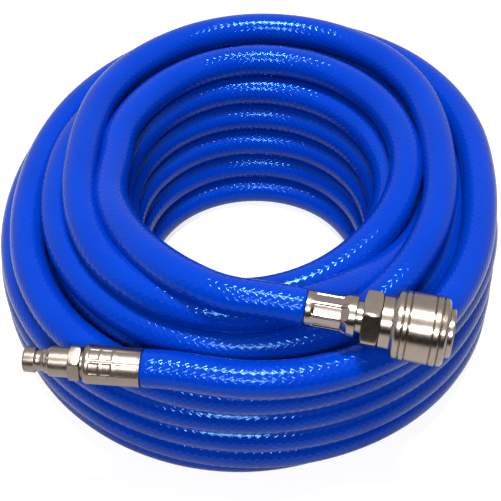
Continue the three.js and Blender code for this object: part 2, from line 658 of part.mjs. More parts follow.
// The plug's ferrule, with the two bands that the crimping jaws press in next to the hex.
function plugFerrule() {
  const front = PLUG_LENGTH - PLUG_FERRULE_LENGTH;
  const pressed = PLUG_FERRULE_RADIUS - CRIMP_BAND_DEPTH;
  const outside = [[PLUG_FERRULE_RADIUS - 0.4, front]];
  outside.push([PLUG_FERRULE_RADIUS, front + 0.4]);
  for (const band of CRIMP_BANDS) {
    outside.push([PLUG_FERRULE_RADIUS, front + band - 1.3]);
    outside.push([pressed, front + band - 0.7]);
    outside.push([pressed, front + band + 0.7]);
    outside.push([PLUG_FERRULE_RADIUS, front + band + 1.3]);
  }
  outside.push([PLUG_FERRULE_RADIUS, PLUG_LENGTH]);
  const crimpedBore = PLUG_FERRULE_RADIUS - 1.2 * PLUG_FERRULE_WALL;
  const plainBore = PLUG_FERRULE_RADIUS - PLUG_FERRULE_WALL;
  const solid = turned([
    ...outside,
    [plainBore, PLUG_LENGTH],
    [plainBore, front + 11.5],
    [crimpedBore, front + 10.5],
    [crimpedBore, front + 1.2],
    [PLUG_FERRULE_BORE, front + 1.2],
    [PLUG_FERRULE_BORE, front],
  ], FINE_SIDES);
  return piece('plug_ferrule', solid, material(...NICKEL));
}

function plugHoseTail() {
  const ferruleFront = PLUG_LENGTH - PLUG_FERRULE_LENGTH;
  const front = ferruleFront + 3;
  const crimpedBore = PLUG_FERRULE_RADIUS - 1.2 * PLUG_FERRULE_WALL;
  const plainBore = PLUG_FERRULE_RADIUS - PLUG_FERRULE_WALL;
  const solid = turned([
    [STEM_CLEARANCE_RADIUS, front],
    [crimpedBore - TOUCHING_GAP, front],
    [crimpedBore - TOUCHING_GAP, ferruleFront + 11.0],
    [plainBore - TOUCHING_GAP, ferruleFront + 11.9],
    [plainBore - TOUCHING_GAP, PLUG_LENGTH],
    [STEM_CLEARANCE_RADIUS, PLUG_LENGTH],
  ], SMALL_SIDES);
  return piece('plug_hose_tail', solid, material(...HOSE_BLUE));
}

function plug() {
  const group = new THREE.Group();
  group.position.set(...PLUG_FACE_CENTRE);
  group.rotation.z = -degrees(90 + PLUG_YAW);
  group.add(plugNipple(), plugFerrule(), plugHoseTail());
  return group;
}

// --------------------------------------------------------------------- the object

const airHose = new THREE.Group();
airHose.add(hoseCoil(), hosePlugEnd(), hoseCouplerEnd(), coupler(), plug());

export default airHose;
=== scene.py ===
"""The coiled air hose: fine surfaces, materials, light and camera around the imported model.

Metres, +Z up, with the origin on the floor at the centre of the coil. A fitting is drawn
along its own axis: t is the distance from its open face towards the hose, and r is the
distance from the axis. The outlines of turned pieces are lists of (r, t) in millimetres.
"""

import json
import math

import bpy
import numpy as np
from mathutils import Matrix, Vector


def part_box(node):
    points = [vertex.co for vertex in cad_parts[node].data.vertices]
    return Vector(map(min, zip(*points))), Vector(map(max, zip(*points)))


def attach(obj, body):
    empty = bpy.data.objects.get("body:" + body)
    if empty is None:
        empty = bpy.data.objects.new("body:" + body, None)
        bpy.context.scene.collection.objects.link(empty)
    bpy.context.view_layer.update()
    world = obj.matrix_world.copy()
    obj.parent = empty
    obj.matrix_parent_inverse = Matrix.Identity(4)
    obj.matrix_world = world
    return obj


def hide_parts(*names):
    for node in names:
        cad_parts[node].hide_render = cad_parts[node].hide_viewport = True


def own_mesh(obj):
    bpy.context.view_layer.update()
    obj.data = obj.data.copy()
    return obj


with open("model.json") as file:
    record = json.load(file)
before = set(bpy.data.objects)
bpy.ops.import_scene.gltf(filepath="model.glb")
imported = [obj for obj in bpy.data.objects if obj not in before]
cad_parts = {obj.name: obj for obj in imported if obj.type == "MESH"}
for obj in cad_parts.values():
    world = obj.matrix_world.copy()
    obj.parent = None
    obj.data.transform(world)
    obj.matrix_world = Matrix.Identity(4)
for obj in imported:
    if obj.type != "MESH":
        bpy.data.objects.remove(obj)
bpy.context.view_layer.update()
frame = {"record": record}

MM = 0.001

# ------ driving dimensions

HOSE_RADIUS = 0.0075
HOSE_BORE_RADIUS = 0.0048
HOSE_SIDES = 24
RING_STEP = 0.0026  # between the rings of the hose's surface
STRAIGHT_LEAD = 0.012  # how far the hose runs straight on from each ferrule
PLUG_TAIL = 0.0187  # how far each end of the hose reaches into its ferrule
COUPLER_TAIL = 0.0159

BRAID_STRANDS = 16  # yarns round the hose, in each direction
BRAID_PITCH = 0.0034  # along the hose
BRAID_RELIEF = 0.00013
SKIN_RELIEF = 0.000012
LATHE_RELIEF = 0.00006
WEAR_RELIEF = 0.00002
RUBBER_RELIEF = 0.00005

COUPLER_LENGTH = 0.0542  # of each fitting, from its open face to its ferrule's rear
PLUG_LENGTH = 0.0449

CAMERA_PLACE = (0.0, -0.3314, 0.3989)
CAMERA_TILT = 49.18  # degrees below the horizon
CAMERA_LENS = 73.87  # millimetres
SENSOR_WIDTH = 36
CAMERA_SHIFT = 0.0126

ROOM_LIGHT = 0.14  # what the white room gives to matt surfaces
MIRRORED_LIGHT = 0.62  # how bright it is in a mirror
# How much of the dark wall is there, by how far a direction points up and forwards.
WALL_HEIGHT = [(0.0, 1.0), (0.54, 1.0), (0.64, 0.0)]
WALL_WIDTH = [(0.30, 0.0), (0.50, 1.0)]
WALL_DARKNESS = 0.99
FLOOR_HALF_WIDTH = 4.0
FLOOR_GLOW = 0.75  # to the camera
MIRRORED_FLOOR_GLOW = 0.20

UP = Vector((0, 0, 1))


# ------ camera and light


def add_object(name, data):
    """A new object in the scene."""
    thing = bpy.data.objects.new(name, data)
    bpy.context.scene.collection.objects.link(thing)
    return thing


def make_camera():
    data = bpy.data.cameras.new("camera")
    data.lens = CAMERA_LENS
    data.sensor_width = SENSOR_WIDTH
    data.shift_y = CAMERA_SHIFT
    data.clip_start = 0.01
    camera = add_object("camera", data)
    camera.location = CAMERA_PLACE
    camera.rotation_euler = (math.radians(90 - CAMERA_TILT), 0, 0)
    bpy.context.scene.camera = camera


def add_node(tree, kind, **inputs):
    """A shader node with its unlinked inputs set; a name's underscores stand for spaces."""
    node = tree.nodes.new(kind)
    for name, value in inputs.items():
        node.inputs[name.replace("_", " ")].default_value = value
    return node


def add_math(tree, operation, first, second=None):
    """The output of a Math node; each operand is a socket or a number."""
    node = tree.nodes.new("ShaderNodeMath")
    node.operation = operation
    for place, operand in enumerate((first, second)):
        if isinstance(operand, bpy.types.NodeSocket):
            tree.links.new(operand, node.inputs[place])
        elif operand is not None:
            node.inputs[place].default_value = operand
    return node.outputs[0]


def add_ramp(tree, source, stops):
    """A colour ramp over a socket, from (place, grey) pairs."""
    ramp = tree.nodes.new("ShaderNodeValToRGB")
    elements = ramp.color_ramp.elements
    while len(elements) < len(stops):
        elements.new(0.5)
    for element, (place, grey) in zip(elements, stops):
        element.position = place
        element.color = (grey, grey, grey, 1)
    tree.links.new(source, ramp.inputs["Fac"])
    return ramp.outputs["Color"]


def make_world():
    """A white studio with a dark wall low behind the photographer, on the -Y side. Glossy
    surfaces mirror it brighter than it lights the rest, and it looks plain white."""
    world = bpy.data.worlds.new("studio")
    bpy.context.scene.world = world
    world.use_nodes = True
    tree = world.node_tree
    tree.nodes.clear()
    place = tree.nodes.new("ShaderNodeTexCoord")
    parts = tree.nodes.new("ShaderNodeSeparateXYZ")
    tree.links.new(place.outputs["Generated"], parts.inputs[0])
    height = add_ramp(tree, parts.outputs["Z"], WALL_HEIGHT)
    front = add_math(tree, "MULTIPLY", parts.outputs["Y"], -1.0)
    forwards = add_ramp(tree, front, WALL_WIDTH)
    wall = add_math(tree, "MULTIPLY", height, forwards)
    shade = add_math(tree, "MULTIPLY", wall, WALL_DARKNESS)
    bright_part = add_math(tree, "SUBTRACT", 1.0, shade)
    seen = tree.nodes.new("ShaderNodeLightPath")
    mirrored = add_math(tree, "MULTIPLY", seen.outputs["Is Glossy Ray"], MIRRORED_LIGHT - ROOM_LIGHT)
    level = add_math(tree, "ADD", mirrored, ROOM_LIGHT)
    light = add_math(tree, "MULTIPLY", bright_part, level)
    strength = add_math(tree, "MAXIMUM", light, seen.outputs["Is Camera Ray"])
    background = add_node(tree, "ShaderNodeBackground", Color=(1, 1, 1, 1))
    tree.links.new(strength, background.inputs["Strength"])
    output = tree.nodes.new("ShaderNodeOutputWorld")
    tree.links.new(background.outputs[0], output.inputs["Surface"])


def make_softbox(name, place, size, power):
    """A rectangular area light that faces the object; its power is in watts."""
    data = bpy.data.lights.new(name, "AREA")
    data.shape = "RECTANGLE"
    data.size, data.size_y = size
    data.energy = power
    light = add_object(name, data)
    light.location = place
    light.rotation_euler = (-Vector(place)).to_track_quat("-Z", "Y").to_euler()


def make_floor():
    """A pale floor that looks brighter than the light it throws back up."""
    half = FLOOR_HALF_WIDTH
    mesh = bpy.data.meshes.new("floor")
    corners = [(-half, -half, 0), (half, -half, 0), (half, half, 0), (-half, half, 0)]
    mesh.from_pydata(corners, [], [(0, 1, 2, 3)])
    floor = add_object("floor", mesh)
    material = bpy.data.materials.new("floor")
    material.use_nodes = True
    tree = material.node_tree
    shader = tree.nodes["Principled BSDF"]
    shader.inputs["Base Color"].default_value = (0.36, 0.36, 0.36, 1)
    shader.inputs["Emission Color"].default_value = (1, 1, 1, 1)
    seen = tree.nodes.new("ShaderNodeLightPath")
    direct = add_math(tree, "MULTIPLY", seen.outputs["Is Camera Ray"], FLOOR_GLOW)
    mirrored = add_math(tree, "MULTIPLY", seen.outputs["Is Glossy Ray"], MIRRORED_FLOOR_GLOW)
    tree.links.new(add_math(tree, "ADD", direct, mirrored), shader.inputs["Emission Strength"])
    shader.inputs["Roughness"].default_value = 0.7
    shader.inputs["Specular IOR Level"].default_value = 0.2
    mesh.materials.append(material)


def make_studio():
    make_camera()
    make_world()
    make_softbox("softbox_above", place=(0, -0.01, 1.2), size=(0.38, 0.15), power=19.5)
    make_softbox("softbox_front", place=(-0.08, -0.82, 0.90), size=(0.38, 0.14), power=9.5)
    make_floor()
    bpy.context.scene.view_settings.view_transform = "Standard"


# ------ materials


def new_material(name):
    """A material named after its slot in the record, in place of the CAD's plain one."""
    plain = bpy.data.materials.get(name)
    if plain is not None:
        plain.name = "cad_" + name
    material = bpy.data.materials.new(name)
    material.use_nodes = True
    tree = material.node_tree
    shader = tree.nodes["Principled BSDF"]
    place = tree.nodes.new("ShaderNodeTexCoord")
    return material, tree, shader, place.outputs["Object"]


def add_noise(tree, place, per_metre, detail=3.0, stretch=None):
    """Noise with that many cells to the metre, and more along the axes that stretch says."""
    if stretch is not None:
        mapping = add_node(tree, "ShaderNodeMapping", Scale=stretch)
        tree.links.new(place, mapping.inputs["Vector"])
        place = mapping.outputs["Vector"]
    noise = add_node(tree, "ShaderNodeTexNoise", Scale=per_metre, Detail=detail)
    tree.links.new(place, noise.inputs["Vector"])
    return noise.outputs["Fac"]


def add_mix(tree, factor, first, second):
    """A blend of two colours by a socket."""
    mix = tree.nodes.new("ShaderNodeMix")
    mix.data_type = "RGBA"
    mix.inputs[6].default_value = (*first, 1)
    mix.inputs[7].default_value = (*second, 1)
    tree.links.new(factor, mix.inputs["Factor"])
    return mix.outputs[2]


def add_range(tree, source, low, high):
    """A socket that runs from 0 to 1, stretched to run from low to high."""
    node = add_node(tree, "ShaderNodeMapRange", To_Min=low, To_Max=high)
    tree.links.new(source, node.inputs["Value"])
    return node.outputs["Result"]


def add_bump(tree, shader, height, distance, normal=None):
    """Relief from a socket that runs from 0 to 1, on top of another bump's normal."""
    bump = add_node(tree, "ShaderNodeBump", Distance=distance, Strength=1.0)
    tree.links.new(height, bump.inputs["Height"])
    if normal is not None:
        tree.links.new(normal, bump.inputs["Normal"])
    tree.links.new(bump.outputs["Normal"], shader.inputs["Normal"])
    return bump.outputs["Normal"]


def braid_height(tree):
    """The relief of the braid under the hose's skin: two sets of yarns that cross. The
    skin keeps the hollows between them level, at half the height."""
    weave = tree.nodes.new("ShaderNodeUVMap")
    weave.uv_map = "braid"
    parts = tree.nodes.new("ShaderNodeSeparateXYZ")
    tree.links.new(weave.outputs["UV"], parts.inputs[0])
    yarns = []
    for operation in ("ADD", "SUBTRACT"):
        place = add_math(tree, operation, parts.outputs["X"], parts.outputs["Y"])
        wave = add_math(tree, "COSINE", add_math(tree, "MULTIPLY", place, 2 * math.pi))
        yarns.append(wave)
    crest = add_math(tree, "MAXIMUM", *yarns)
    return add_range(tree, crest, 0.5, 1.0)


def hose_material():
    """Glossy blue PVC with the braid's imprint and a faint unevenness in its colour."""
    material, tree, shader, place = new_material("hose_pvc")
    cloud = add_noise(tree, place, per_metre=45)
    colour = add_mix(tree, cloud, (0.000, 0.024, 0.31), (0.000, 0.034, 0.38))
    tree.links.new(colour, shader.inputs["Base Color"])
    smear = add_noise(tree, place, per_metre=160)
    tree.links.new(add_range(tree, smear, 0.06, 0.11), shader.inputs["Roughness"])
    shader.inputs["IOR"].default_value = 1.45
    shader.inputs["Specular IOR Level"].default_value = 0.5
    shader.inputs["Specular Tint"].default_value = (0.19, 0.53, 1.0, 1)
    fine = add_noise(tree, place, per_metre=900, detail=2.0)
    skin = add_bump(tree, shader, fine, SKIN_RELIEF)
    add_bump(tree, shader, braid_height(tree), BRAID_RELIEF, normal=skin)
    return material


def metal_material(name, dark, bright, roughness, turning):
    """Plated or drawn metal. The roughness is the least and the most, and turning is how
    much of the lathe's fine lines is left."""
    material, tree, shader, place = new_material(name)
    stain = add_noise(tree, place, per_metre=220, detail=4.0)
    tree.links.new(add_mix(tree, stain, dark, bright), shader.inputs["Base Color"])
    shader.inputs["Metallic"].default_value = 1.0
    wear = add_noise(tree, place, per_metre=700)
    tree.links.new(add_range(tree, wear, *roughness), shader.inputs["Roughness"])
    lines = add_noise(tree, place, per_metre=100, stretch=(1, 60, 1))
    turned_lines = add_bump(tree, shader, lines, LATHE_RELIEF * turning)
    add_bump(tree, shader, wear, WEAR_RELIEF, normal=turned_lines)
    return material


def nickel_material():
    """The coupler's bright nickel plate."""
    dark, bright = (0.34, 0.285, 0.24), (0.44, 0.37, 0.32)
    return metal_material("nickel_plate", dark, bright, roughness=(0.16, 0.26), turning=0.3)


def satin_material():
    """The plug's nickel plate, which is duller."""
    dark, bright = (0.26, 0.22, 0.185), (0.37, 0.31, 0.265)
    return metal_material("satin_nickel", dark, bright, roughness=(0.25, 0.36), turning=0.25)


def steel_material():
    dark, bright = (0.50, 0.50, 0.51), (0.60, 0.60, 0.61)
    return metal_material("spring_steel", dark, bright, roughness=(0.20, 0.30), turning=0.0)


def rubber_material():
    material, tree, shader, place = new_material("seal_rubber")
    bloom = add_noise(tree, place, per_metre=500)
    colour = add_mix(tree, bloom, (0.006, 0.006, 0.007), (0.022, 0.022, 0.024))
    tree.links.new(colour, shader.inputs["Base Color"])
    tree.links.new(add_range(tree, bloom, 0.40, 0.60), shader.inputs["Roughness"])
    add_bump(tree, shader, bloom, RUBBER_RELIEF)
    return material


# ------ geometry helpers


def map_braid(mesh, sides, along):
    """A UV map for the braid on a tube's quads, whose rings lie that far along it: u
    counts the yarns round the tube, and v counts their pitches along it."""
    columns = np.arange(sides)[None]
    round_it = np.stack(np.broadcast_arrays(columns, columns + 1, columns + 1, columns), -1)
    u = np.broadcast_to(round_it, (len(along) - 1, sides, 4)) * BRAID_STRANDS / sides
    ends = np.stack([along[:-1], along[:-1], along[1:], along[1:]], -1) / BRAID_PITCH
    v = np.broadcast_to(ends[:, None], u.shape)
    flat = np.zeros((len(mesh.loops), 2))
    flat[: u.size] = np.stack([u, v], -1).reshape(-1, 2)
    mesh.uv_layers.new(name="braid").data.foreach_set("uv", flat.ravel())


def ringed_mesh(name, rings, closed=False, along=None):
    """A surface through rings of points, shaped (rings, sides, 3). It closes on itself
    like a torus, or has a flat cap at each end. With along, it gets the braid's map."""
    count, sides = rings.shape[:2]
    rows = np.arange(count if closed else count - 1)[:, None]
    columns = np.arange(sides)[None]
    ring, next_ring = rows * sides, (rows + 1) % count * sides
    beside = (columns + 1) % sides
    corners = (ring + columns, ring + beside, next_ring + beside, next_ring + columns)
    quads = np.stack(corners, axis=-1).reshape(-1, 4)
    points = rings.reshape(-1, 3)
    a, b, c, d = (points[quads[:, i]] for i in range(4))
    volume = np.sum(a * (np.cross(b, c) + np.cross(c, d)))
    faces = quads.tolist()
    if not closed:
        faces.append(list(range(sides))[::-1])
        faces.append(list(range((count - 1) * sides, count * sides)))
    mesh = bpy.data.meshes.new(name)
    mesh.from_pydata(points.tolist(), [], faces)
    if along is not None:
        map_braid(mesh, sides, along)
    if volume < 0:
        mesh.flip_normals()
    mesh.validate()
    mesh.shade_smooth()
    return add_object(name, mesh)


def blended(points, knots, reach, t):
    """Neighbouring points blended in pairs, each between two knots that many apart."""
    found = []
    for i in range(len(points) - 1):
        start, end = knots[i], knots[i + reach]
        found.append(((end - t) * points[i] + (t - start) * points[i + 1]) / (end - start))
    return found


def smooth_curve(points, steps):
    """Points along the centripetal Catmull-Rom curve through the given ones."""
    points = np.array(points, float)
    before = 2 * points[0] - points[1]
    after = 2 * points[-1] - points[-2]
    points = np.vstack([before, points, after])
    knots = np.cumsum(np.sqrt(np.linalg.norm(np.diff(points, axis=0), axis=1)))
    knots = np.concatenate([[0.0], knots])
    found = []
    for i in range(1, len(points) - 2):
        near_knots = knots[i - 1 : i + 3]
        t = np.linspace(knots[i], knots[i + 1], steps, endpoint=False)[:, None]
        singles = blended(points[i - 1 : i + 3], near_knots, 1, t)
        doubles = blended(singles, near_knots, 2, t)
        found += blended(doubles, near_knots[1:], 1, t)
    return np.vstack([*found, points[-2:-1]])


def distances(line):
    """How far each point of a line is along it."""
    steps = np.linalg.norm(np.diff(line, axis=0), axis=1)
    return np.concatenate([[0.0], np.cumsum(steps)])


def sampled(along, values, wanted):
    """Vectors given at the distances along a line, read off at other distances."""
    return np.stack([np.interp(wanted, along, column) for column in values.T], axis=1)


def unit(vectors):
    return vectors / np.linalg.norm(vectors, axis=1)[:, None]


def tube_rings(line, wanted, radii, sides):
    """Rings of points round a line, square to it and without twist, at the wanted
    distances along it."""
    along = distances(line)
    ahead = unit(np.gradient(line, axis=0))
    across = np.zeros_like(line)
    across[0] = np.cross(ahead[0], UP)
    for i in range(1, len(line)):
        carried = across[i - 1] - ahead[i] * (across[i - 1] @ ahead[i])
        across[i] = carried / np.linalg.norm(carried)
    other = sampled(along, np.cross(ahead, across), wanted)
    across = sampled(along, across, wanted)
    angles = (np.arange(sides) * 2 * math.pi / sides)[None, :, None]
    spread = unit(across)[:, None] * np.cos(angles) + unit(other)[:, None] * np.sin(angles)
    return sampled(along, line, wanted)[:, None] + spread * radii[:, None, None]


# ------ where fittings lie


def fitting(mount_name, node_on_axis):
    """The matrix that puts a fitting's own axes in place: +Y runs from its open face
    towards the hose, and the node is one whose box is centred on that axis."""
    mount = next(m for m in frame["record"]["mounts"] if m["name"] == mount_name)
    inward = -Vector(mount["axis"]).normalized()
    low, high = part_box(node_on_axis)
    matrix = Matrix((inward.cross(UP), inward, UP)).transposed().to_4x4()
    x, y, _ = mount["pos_m"]
    matrix.translation = (x, y, (low.z + high.z) / 2)
    return matrix


COUPLER = fitting("coupler_mouth", "coupler_hose_tail")
PLUG = fitting("plug_tip", "plug_hose_tail")


def on_axis(place, t):
    """A point on a fitting's axis, t metres from its open face."""
    return place @ Vector((0, t, 0))


# ------ the hose

# The stretch from the plug over the front and round the right side, down onto the coil.
PLUG_STRETCH = [
    (-0.0140, -0.1132, 0.0776), (0.0000, -0.1148, 0.0776), (0.0160, -0.1140, 0.0774),
    (0.0320, -0.1102, 0.0771), (0.0480, -0.1036, 0.0769), (0.0630, -0.0942, 0.0766),
    (0.0780, -0.0784, 0.0762), (0.0905, -0.0563, 0.0757), (0.0983, -0.0300, 0.0753),
]

# The stretch from the coil's left side up and over the front to the coupler.
COUPLER_STRETCH = [
    (-0.0598, -0.0245, 0.0853), (-0.0552, -0.0408, 0.0883), (-0.0474, -0.0560, 0.0914),
    (-0.0368, -0.0697, 0.0943), (-0.0250, -0.0806, 0.0963), (-0.0110, -0.0889, 0.0972),
]

# The coil is guided by stations: (turns made, radius, height). A turn starts at the
# front, and a quarter of a turn later it is on the right.
TOP_TURN = [
    (0.250, 0.1019, 0.0750), (0.375, 0.1080, 0.0733), (0.500, 0.1056, 0.0708),
    (0.625, 0.0992, 0.0686), (0.750, 0.0983, 0.0665), (0.875, 0.1096, 0.0648),
]

# The outer column winds down at an even pitch. Its turns are wider in some places than
# in others: for each part of a turn, the radius in the first turn to the fourth.
OUTER_TOP = 0.063
OUTER_PITCH = 0.0139
OUTER_RADII = {
    0.000: (0.1126, 0.1126, 0.1126, 0.1118),
    0.125: (0.1090, 0.1105, 0.1115, 0.1110),
    0.250: (0.1040, 0.1045, 0.1055, 0.1070),
    0.500: (0.1085, 0.1085, 0.1085, 0.1085),
    0.750: (0.1060, 0.1088, 0.1096, 0.1084),
    0.875: (0.1123, 0.1122, 0.1116, 0.1090),
}
OUTER_END = (5.0, 0.1059, HOSE_RADIUS)

# The middle column winds up. Its turns lie level and step up at the front.
MIDDLE_FIRST_TURN = 5
MIDDLE_PITCH = 0.0149
MIDDLE_FRONT = 0.093
MIDDLE_SPREAD = 0.0012  # how much wider the front of each turn is than the one below
MIDDLE_LAST_STEP = 0.0055
MIDDLE_RADII = {
    0.25: (0.0950, 0.0915, 0.0915, 0.0915),
    0.50: (0.0945, 0.0925, 0.0925, 0.0925),
    0.75: (0.0910, 0.0910, 0.0910, 0.0910),
}

# Two turns that lie on top of the middle column, and the way down inside it.
UPPER_TURNS = [
    (9.250, 0.0913, 0.0652), (9.500, 0.0905, 0.0670), (9.625, 0.0856, 0.0700),
    (9.750, 0.0848, 0.0738), (9.875, 0.0926, 0.0724), (10.00, 0.0948, 0.0713),
    (10.06, 0.0940, 0.0742), (10.11, 0.0908, 0.0793), (10.17, 0.0865, 0.0828),
    (10.25, 0.0832, 0.0838), (10.375, 0.0928, 0.0834), (10.46, 0.0938, 0.0832),
    (10.50, 0.0924, 0.0832), (10.625, 0.0825, 0.0838), (10.75, 0.0741, 0.0852),
    (10.80, 0.0766, 0.0853), (10.875, 0.0846, 0.0852), (11.00, 0.0888, 0.0842),
]
WAY_DOWN = [
    (11.04, 0.0853, 0.0828), (11.08, 0.0810, 0.0775), (11.12, 0.0790, 0.0720),
    (11.17, 0.0785, 0.0675), (11.25, 0.0785, 0.0620), (11.50, 0.0775, 0.0500),
    (11.75, 0.0760, 0.0350), (12.00, 0.0780, 0.0220), (12.25, 0.0775, 0.0110),
    (12.50, 0.0740, 0.0075), (12.75, 0.0740, 0.0075), (13.00, 0.0720, 0.0075),
    (13.125, 0.0655, 0.0075),
]

# The inner column winds up again, also in level turns that step up at the front.
INNER_FIRST_TURN = 13
INNER_PITCH = 0.0148
INNER_FRONT = 0.058
INNER_SPREAD = 0.0012
INNER_RADII = {
    0.250: (0.0600, 0.0605, 0.0612, 0.0622, 0.0636),
    0.375: (0.05855, 0.0610, 0.0621, 0.0640, 0.0658),
    0.500: (0.0559, 0.0591, 0.0606, 0.0634, 0.0656),
    0.750: (0.0560, 0.0575, 0.0585, 0.0595, 0.0605),
}
LAST_TURN = [
    (17.88, 0.0658, 0.0686), (18.00, 0.0690, 0.0708), (18.06, 0.0676, 0.0726),
    (18.12, 0.0668, 0.0756), (18.18, 0.0676, 0.0790), (18.25, 0.0692, 0.0815),
    (18.375, 0.0710, 0.0815), (18.50, 0.0695, 0.0815), (18.625, 0.0633, 0.0817),
    (18.75, 0.0598, 0.0824),
]
POINTS_PER_TURN = 24
CURVE_STEPS = 12  # between two points of the route


def outer_column():
    """Four turns down the outside of the coil, to the floor."""
    stations = [OUTER_END]
    for part, radii in OUTER_RADII.items():
        for turn, radius in enumerate(radii):
            height = OUTER_TOP - OUTER_PITCH * (turn + part)
            stations.append((1 + turn + part, radius, max(HOSE_RADIUS, height)))
    return stations


def level_column(first_turn, radii, pitch, front_radius, spread, last_step):
    """Level turns, each resting on the last, that step up as they pass the front."""
    stations = []
    count = len(radii[0.25])
    for turn in range(count):
        level = HOSE_RADIUS + pitch * turn
        for part, row in radii.items():
            stations.append((first_turn + turn + part, row[turn], level))
        step = last_step if turn == count - 1 else pitch / 2
        if step is not None:
            stations.append((first_turn + turn + 1, front_radius + spread * turn, level + step))
    return stations


def coil_stations():
    middle = level_column(
        MIDDLE_FIRST_TURN, MIDDLE_RADII, MIDDLE_PITCH, MIDDLE_FRONT, MIDDLE_SPREAD, MIDDLE_LAST_STEP
    )
    inner = level_column(INNER_FIRST_TURN, INNER_RADII, INNER_PITCH, INNER_FRONT, INNER_SPREAD, None)
    columns = TOP_TURN + outer_column() + middle + UPPER_TURNS + WAY_DOWN + inner + LAST_TURN
    return np.array(sorted(columns))


def fair_slopes(places, values):
    """Slopes at the stations for a curve that runs smoothly through them."""
    gaps = np.diff(places)
    rises = np.diff(values) / gaps
    inside = (rises[:-1] * gaps[1:] + rises[1:] * gaps[:-1]) / (gaps[:-1] + gaps[1:])
    return np.concatenate([rises[:1], inside, rises[-1:]])


def level_slopes(places, values):
    """Slopes for a curve that never rises above or dips below its stations."""
    gaps = np.diff(places)
    rises = np.diff(values) / gaps
    slopes = np.zeros(len(values))
    slopes[0], slopes[-1] = rises[0], rises[-1]
    for i in range(1, len(values) - 1):
        before, after = rises[i - 1], rises[i]
        if before * after > 0:
            weights = (2 * gaps[i] + gaps[i - 1], gaps[i] + 2 * gaps[i - 1])
            slopes[i] = sum(weights) / (weights[0] / before + weights[1] / after)
    return slopes


def between_stations(places, values, slopes, wanted):
    """Cubic pieces through the stations, with the given slopes there."""
    i = np.clip(np.searchsorted(places, wanted, side="right") - 1, 0, len(places) - 2)
    gap = places[i + 1] - places[i]
    s = (wanted - places[i]) / gap
    start = (1 + 2 * s) * (1 - s) ** 2 * values[i] + s * (1 - s) ** 2 * gap * slopes[i]
    end = s * s * (3 - 2 * s) * values[i + 1] - s * s * (1 - s) * gap * slopes[i + 1]
    return start + end


def coil_points():
    """The coil's turns, worked out from its stations."""
    turns, radii, heights = coil_stations().T
    wanted = np.arange(turns[0], turns[-1] + 1e-9, 1 / POINTS_PER_TURN)
    radius = between_stations(turns, radii, fair_slopes(turns, radii), wanted)
    height = between_stations(turns, heights, level_slopes(turns, heights), wanted)
    angle = 2 * math.pi * wanted
    return np.stack([radius * np.sin(angle), -radius * np.cos(angle), height], axis=1)


def hose_line():
    """The hose's centreline, from its end in the plug to its end in the coupler."""
    start = [on_axis(PLUG, PLUG_LENGTH + d) for d in (-PLUG_TAIL, 0, STRAIGHT_LEAD)]
    end = [on_axis(COUPLER, COUPLER_LENGTH + d) for d in (STRAIGHT_LEAD, 0, -COUPLER_TAIL)]
    route = [*start, *PLUG_STRETCH, *coil_points(), *COUPLER_STRETCH, *end]
    return smooth_curve([tuple(p) for p in route], CURVE_STEPS)


# How thick the hose is where a ferrule holds it: (distance from its end, radius).
PLUG_NECK = [
    (0.0000, 0.0057), (0.0004, 0.0062), (0.0085, 0.0062), (0.0092, 0.0064), (0.0186, 0.0064),
]
COUPLER_NECK = [
    (0.0000, 0.0063), (0.0004, 0.0068), (0.0016, 0.0068), (0.0032, 0.0057), (0.0158, 0.0057),
]
# How it swells to its full radius: (distance from the ferrule, radius).
BULGE = [(0.0002, 0.0066), (0.0006, 0.0072), (0.0012, 0.0074), (0.0022, HOSE_RADIUS)]
HOSE_BORE_DEPTH = 0.021  # of the bore that is drawn at each end, round the fitting's stem


def hose_profile(line):
    """Distances along the hose and its radius there, with a bore at each end."""
    whole = distances(line)[-1]
    ends = []
    for neck, tail in ((PLUG_NECK, PLUG_TAIL), (COUPLER_NECK, COUPLER_TAIL)):
        bore = [(HOSE_BORE_DEPTH, HOSE_BORE_RADIUS), (0.0, HOSE_BORE_RADIUS)]
        ends.append(bore + neck + [(tail + d, r) for d, r in BULGE])
    first, last = ends[0][-1][0], whole - ends[1][-1][0]
    middle = np.linspace(first, last, round((last - first) / RING_STEP))[1:-1]
    profile = ends[0] + [(d, HOSE_RADIUS) for d in middle]
    profile += [(whole - d, r) for d, r in reversed(ends[1])]
    return np.array(profile).T


def make_hose():
    line = hose_line()
    along, radii = hose_profile(line)
    rings = tube_rings(line, along, radii, HOSE_SIDES)
    hose = ringed_mesh("air_hose", rings, along=along)
    hose.data.materials.append(hose_material())
    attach(hose, "hose")
    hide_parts("hose_coil", "hose_plug_end", "hose_coupler_end")
    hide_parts("coupler_hose_tail", "plug_hose_tail")
    return hose, line


# ------ turned pieces, in mm

EDGE = 0.15  # how far a corner is eased on each side
EASING_SHARE = 0.4  # of an edge, at most
EASING_STEPS = (0, 1 / 3, 2 / 3, 1)
CREASE_ANGLE = math.radians(30)  # an edge turned further than this stays sharp
TURNED_SIDES = 96
POPPET_SIDES = 64
BALL_SIDES = 36
BALL_STEPS = 24  # from pole to pole
BALL_HOLE_SIDES = 24
CRIMPED_SIDES = 192
CRIMPED_STEP = 0.35  # along a crimped piece's outline
CRIMP_JAWS = 8
RIDGE_TOP = 0.35  # how much of a ridge between two jaws is left untouched
HEX_SIDES = 144
HEX_CHAMFER = 0.1  # how far inside its flats a hexagon's end faces stop
WIRE_RADIUS = 0.45
WIRE_SIDES = 12
WIRE_STEPS = 36  # in each turn of a spring


